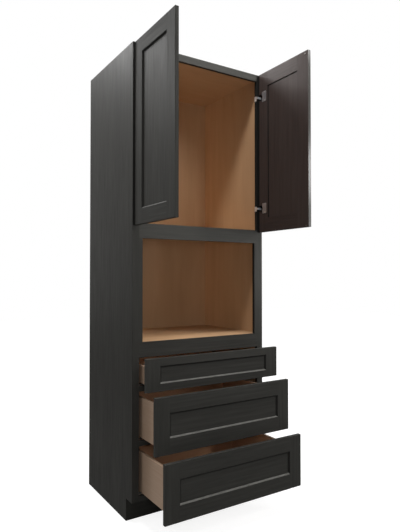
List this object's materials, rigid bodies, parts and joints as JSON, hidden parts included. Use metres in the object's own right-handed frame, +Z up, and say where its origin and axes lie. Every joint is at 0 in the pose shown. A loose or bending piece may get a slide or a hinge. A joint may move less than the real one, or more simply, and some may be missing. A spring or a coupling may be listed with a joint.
{
  "type": "tall oven cabinet",
  "caption": "Tall kitchen cabinet for a built-in oven: framed doors over an upper compartment, an open oven bay and pull-out drawers, in dark stained wood.",
  "frame": {"origin": "on the floor, in the middle of the width and of the depth that the cabinet takes with its doors open", "axes": "+X to the right seen from the front, +Y to the back, +Z up"},
  "size_m": [0.8382, 1.0238, 2.4384],
  "materials": {
    "exterior_wood": "charcoal stain, satin lacquer",
    "case_plywood": "stained outside, natural veneer inside, satin",
    "interior_plywood": "natural veneer, satin",
    "front_wood": "charcoal stain, satin lacquer",
    "drawer_box_wood": "clear lacquer, satin",
    "plated_steel": "zinc plated",
    "steel_screws": "zinc plated",
    "grey_plastic": "moulded",
    "bumper_rubber": "translucent, soft"
  },
  "bodies": {
    "case": {"left_side_panel": "case_plywood", "right_side_panel": "case_plywood", "back_panel": "interior_plywood", "top_panel": "interior_plywood", "upper_floor": "interior_plywood", "oven_floor": "interior_plywood", "bottom_panel": "interior_plywood", "toe_kick_board": "exterior_wood", "stiles": "exterior_wood", "oven_strips": "exterior_wood", "top_rail": "exterior_wood", "middle_rail": "exterior_wood", "oven_rail": "exterior_wood", "drawer_rails": "exterior_wood", "bottom_rail": "exterior_wood", "hinge_arms": "plated_steel", "slide_channels": "plated_steel", "slide_rear_brackets": "grey_plastic", "mounting_screws": "steel_screws"},
    "left_door": {"left_door_stiles": "front_wood", "left_door_rails": "front_wood", "left_door_panel": "front_wood", "left_hinge_cups": "plated_steel", "left_hinge_pins": "plated_steel", "left_cup_screws": "steel_screws", "left_door_bumpers": "bumper_rubber"},
    "right_door": {"right_door_stiles": "front_wood", "right_door_rails": "front_wood", "right_door_panel": "front_wood", "right_hinge_cups": "plated_steel", "right_hinge_pins": "plated_steel", "right_cup_screws": "steel_screws", "right_door_bumpers": "bumper_rubber"},
    "top_drawer": {"top_front_stiles": "front_wood", "top_front_rails": "front_wood", "top_front_panel": "front_wood", "top_box_sides": "drawer_box_wood", "top_box_ends": "drawer_box_wood", "top_box_bottom": "drawer_box_wood", "top_front_screws": "steel_screws", "top_box_runners": "plated_steel"},
    "middle_drawer": {"middle_front_stiles": "front_wood", "middle_front_rails": "front_wood", "middle_front_panel": "front_wood", "middle_box_sides": "drawer_box_wood", "middle_box_ends": "drawer_box_wood", "middle_box_bottom": "drawer_box_wood", "middle_front_screws": "steel_screws", "middle_box_runners": "plated_steel"},
    "bottom_drawer": {"bottom_front_stiles": "front_wood", "bottom_front_rails": "front_wood", "bottom_front_panel": "front_wood", "bottom_box_sides": "drawer_box_wood", "bottom_box_ends": "drawer_box_wood", "bottom_box_bottom": "drawer_box_wood", "bottom_front_screws": "steel_screws", "bottom_box_runners": "plated_steel"},
    "top_slide_links": {"top_slide_links": "plated_steel"},
    "middle_slide_links": {"middle_slide_links": "plated_steel"},
    "bottom_slide_links": {"bottom_slide_links": "plated_steel"}
  },
  "joints": [
    {"name": "left_door_hinge", "type": "hinge", "parent": "case", "child": "left_door", "pos_m": [-0.4017, -0.11182, 1.9694], "axis": [0, 0, -1], "range_deg": [-90, 15]},
    {"name": "right_door_hinge", "type": "hinge", "parent": "case", "child": "right_door", "pos_m": [0.4017, -0.11182, 1.9694], "axis": [0, 0, 1], "range_deg": [-90, 15]},
    {"name": "top_drawer_slide", "type": "slide", "parent": "case", "child": "top_drawer", "axis": [0, -1, 0], "range_m": [-0.1161, 0.4173]},
    {"name": "middle_drawer_slide", "type": "slide", "parent": "case", "child": "middle_drawer", "axis": [0, -1, 0], "range_m": [-0.2119, 0.3215]},
    {"name": "bottom_drawer_slide", "type": "slide", "parent": "case", "child": "bottom_drawer", "axis": [0, -1, 0], "range_m": [-0.3068, 0.2266]},
    {"name": "top_link_slide", "type": "slide", "parent": "case", "child": "top_slide_links", "axis": [0, -1, 0], "range_m": [-0.05805, 0.20865]},
    {"name": "middle_link_slide", "type": "slide", "parent": "case", "child": "middle_slide_links", "axis": [0, -1, 0], "range_m": [-0.10595, 0.16075]},
    {"name": "bottom_link_slide", "type": "slide", "parent": "case", "child": "bottom_slide_links", "axis": [0, -1, 0], "range_m": [-0.1534, 0.1133]}
  ],
  "couplings": [
    {"joint": "top_link_slide", "follows": "top_drawer_slide", "ratio": 0.5},
    {"joint": "middle_link_slide", "follows": "middle_drawer_slide", "ratio": 0.5},
    {"joint": "bottom_link_slide", "follows": "bottom_drawer_slide", "ratio": 0.5}
  ]
}
